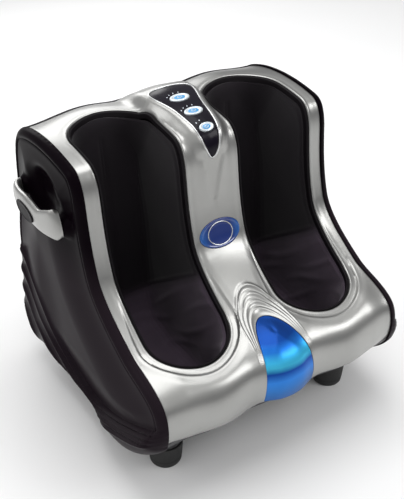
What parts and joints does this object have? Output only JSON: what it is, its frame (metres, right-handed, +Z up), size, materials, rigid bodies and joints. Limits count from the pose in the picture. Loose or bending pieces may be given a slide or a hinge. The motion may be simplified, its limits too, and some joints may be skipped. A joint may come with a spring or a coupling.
{
  "type": "foot and leg massager",
  "caption": "Foot and calf massager: two fabric-lined leg wells in a silver cover between black side panels with carrying handles, with motor-driven kneading paddles inside.",
  "frame": {"origin": "on the floor under the centre of the machine", "axes": "+Z up, -Y towards the toe end, +X to the right of someone who faces the toe end"},
  "size_m": [0.5016, 0.4504, 0.4749],
  "materials": {
    "silver_paint": "satin",
    "black_gloss": "gloss",
    "black_fabric": "woven",
    "black_rubber": "matte",
    "blue_lens": "gloss",
    "badge_enamel": "gloss",
    "button_silver": "satin",
    "zinc_steel": "satin",
    "bronze": "satin",
    "cast_zinc": "matte",
    "white_nylon": "matte",
    "board_green": "matte"
  },
  "bodies": {
    "body": {"front_cover": "silver_paint", "control_panel": "black_gloss", "control_board": "board_green", "toe_lens": "blue_lens", "badge": "badge_enamel", "opening_ring_left": "black_gloss", "opening_ring_right": "black_gloss", "liner_left": "black_fabric", "liner_right": "black_fabric", "side_panel_left": "black_gloss", "side_panel_right": "black_gloss", "handle_left": "silver_paint", "handle_right": "silver_paint", "handle_plate_left": "black_gloss", "handle_plate_right": "black_gloss", "rear_cover": "black_gloss", "base_tray": "black_gloss", "foot_front_left": "black_rubber", "foot_front_right": "black_rubber", "foot_rear_left": "black_rubber", "foot_rear_right": "black_rubber", "chassis_base": "zinc_steel", "upright_left": "zinc_steel", "upright_right": "zinc_steel", "gearbox_body": "cast_zinc", "gearbox_lid": "cast_zinc", "motor": "zinc_steel", "belt": "black_rubber", "upper_guide_rod": "zinc_steel", "lower_guide_rod": "zinc_steel", "upper_bearing_left": "white_nylon", "upper_bearing_right": "white_nylon", "lower_bearing_left": "white_nylon", "lower_bearing_right": "white_nylon", "foot_bed_left": "white_nylon", "foot_bed_right": "white_nylon", "power_inlet": "black_gloss", "switch_frame": "black_gloss", "fuse_holder": "black_gloss", "transformer": "cast_zinc"},
    "lower_drive": {"lower_shaft": "zinc_steel", "lower_pulley": "white_nylon", "worm_wheel": "bronze"},
    "upper_drive": {"upper_shaft": "zinc_steel", "upper_pulley": "white_nylon"},
    "worm": {"worm_shaft": "zinc_steel"},
    "calf_paddle_left_inner": {"calf_paddle_left_inner": "white_nylon"},
    "calf_paddle_left_outer": {"calf_paddle_left_outer": "white_nylon"},
    "calf_paddle_right_inner": {"calf_paddle_right_inner": "white_nylon"},
    "calf_paddle_right_outer": {"calf_paddle_right_outer": "white_nylon"},
    "foot_paddle_left_inner": {"foot_paddle_left_inner": "white_nylon"},
    "foot_paddle_left_outer": {"foot_paddle_left_outer": "white_nylon"},
    "foot_paddle_right_inner": {"foot_paddle_right_inner": "white_nylon"},
    "foot_paddle_right_outer": {"foot_paddle_right_outer": "white_nylon"},
    "mode_button": {"mode_button": "button_silver"},
    "speed_button": {"speed_button": "button_silver"},
    "power_button": {"power_button": "button_silver"},
    "switch_rocker": {"switch_rocker": "black_gloss"}
  },
  "joints": [
    {"name": "lower_shaft_spin", "type": "hinge", "parent": "body", "child": "lower_drive", "pos_m": [0, 0.11914, 0.09806], "axis": [1, 0, 0], "continuous": true},
    {"name": "upper_shaft_spin", "type": "hinge", "parent": "body", "child": "upper_drive", "pos_m": [0, 0.14366, 0.27013], "axis": [1, 0, 0], "continuous": true},
    {"name": "motor_spin", "type": "hinge", "parent": "body", "child": "worm", "pos_m": [-0.008, 0.08814, 0.09806], "axis": [0, 0, 1], "continuous": true},
    {"name": "calf_paddle_left_inner_sway", "type": "hinge", "parent": "body", "child": "calf_paddle_left_inner", "pos_m": [-0.041, 0.14366, 0.27013], "axis": [0, 0, 1], "range_deg": [-3, 3]},
    {"name": "calf_paddle_left_outer_sway", "type": "hinge", "parent": "body", "child": "calf_paddle_left_outer", "pos_m": [-0.1815, 0.14366, 0.27013], "axis": [0, 0, 1], "range_deg": [-3, 3]},
    {"name": "calf_paddle_right_inner_sway", "type": "hinge", "parent": "body", "child": "calf_paddle_right_inner", "pos_m": [0.041, 0.14366, 0.27013], "axis": [0, 0, 1], "range_deg": [-3, 3]},
    {"name": "calf_paddle_right_outer_sway", "type": "hinge", "parent": "body", "child": "calf_paddle_right_outer", "pos_m": [0.1815, 0.14366, 0.27013], "axis": [0, 0, 1], "range_deg": [-3, 3]},
    {"name": "foot_paddle_left_inner_sway", "type": "hinge", "parent": "body", "child": "foot_paddle_left_inner", "pos_m": [-0.041, 0.11914, 0.09806], "axis": [0, 0, 1], "range_deg": [-1.5, 1.5]},
    {"name": "foot_paddle_left_outer_sway", "type": "hinge", "parent": "body", "child": "foot_paddle_left_outer", "pos_m": [-0.1815, 0.11914, 0.09806], "axis": [0, 0, 1], "range_deg": [-1.5, 1.5]},
    {"name": "foot_paddle_right_inner_sway", "type": "hinge", "parent": "body", "child": "foot_paddle_right_inner", "pos_m": [0.041, 0.11914, 0.09806], "axis": [0, 0, 1], "range_deg": [-1.5, 1.5]},
    {"name": "foot_paddle_right_outer_sway", "type": "hinge", "parent": "body", "child": "foot_paddle_right_outer", "pos_m": [0.1815, 0.11914, 0.09806], "axis": [0, 0, 1], "range_deg": [-1.5, 1.5]},
    {"name": "mode_button_press", "type": "slide", "parent": "body", "child": "mode_button", "axis": [0, 0.2087, -0.978], "range_m": [0, 0.0012], "stiffness_N_per_m": 800, "springref_m": -0.0015},
    {"name": "speed_button_press", "type": "slide", "parent": "body", "child": "speed_button", "axis": [0, 0.2087, -0.978], "range_m": [0, 0.0012], "stiffness_N_per_m": 800, "springref_m": -0.0015},
    {"name": "power_button_press", "type": "slide", "parent": "body", "child": "power_button", "axis": [0, 0.2087, -0.978], "range_m": [0, 0.0012], "stiffness_N_per_m": 800, "springref_m": -0.0015},
    {"name": "power_switch_rock", "type": "hinge", "parent": "body", "child": "switch_rocker", "pos_m": [0.07, 0.2183, 0.16344], "axis": [1, 0, 0], "range_deg": [-8, 8]}
  ],
  "couplings": [
    {"joint": "upper_shaft_spin", "follows": "lower_shaft_spin", "ratio": 1},
    {"joint": "motor_spin", "follows": "lower_shaft_spin", "ratio": 24},
    {"joint": "calf_paddle_left_outer_sway", "follows": "calf_paddle_left_inner_sway", "ratio": -1},
    {"joint": "calf_paddle_right_inner_sway", "follows": "calf_paddle_left_inner_sway", "ratio": -1},
    {"joint": "calf_paddle_right_outer_sway", "follows": "calf_paddle_left_inner_sway", "ratio": 1},
    {"joint": "foot_paddle_left_inner_sway", "follows": "calf_paddle_left_inner_sway", "ratio": -0.5},
    {"joint": "foot_paddle_left_outer_sway", "follows": "calf_paddle_left_inner_sway", "ratio": 0.5},
    {"joint": "foot_paddle_right_inner_sway", "follows": "calf_paddle_left_inner_sway", "ratio": 0.5},
    {"joint": "foot_paddle_right_outer_sway", "follows": "calf_paddle_left_inner_sway", "ratio": -0.5}
  ]
}
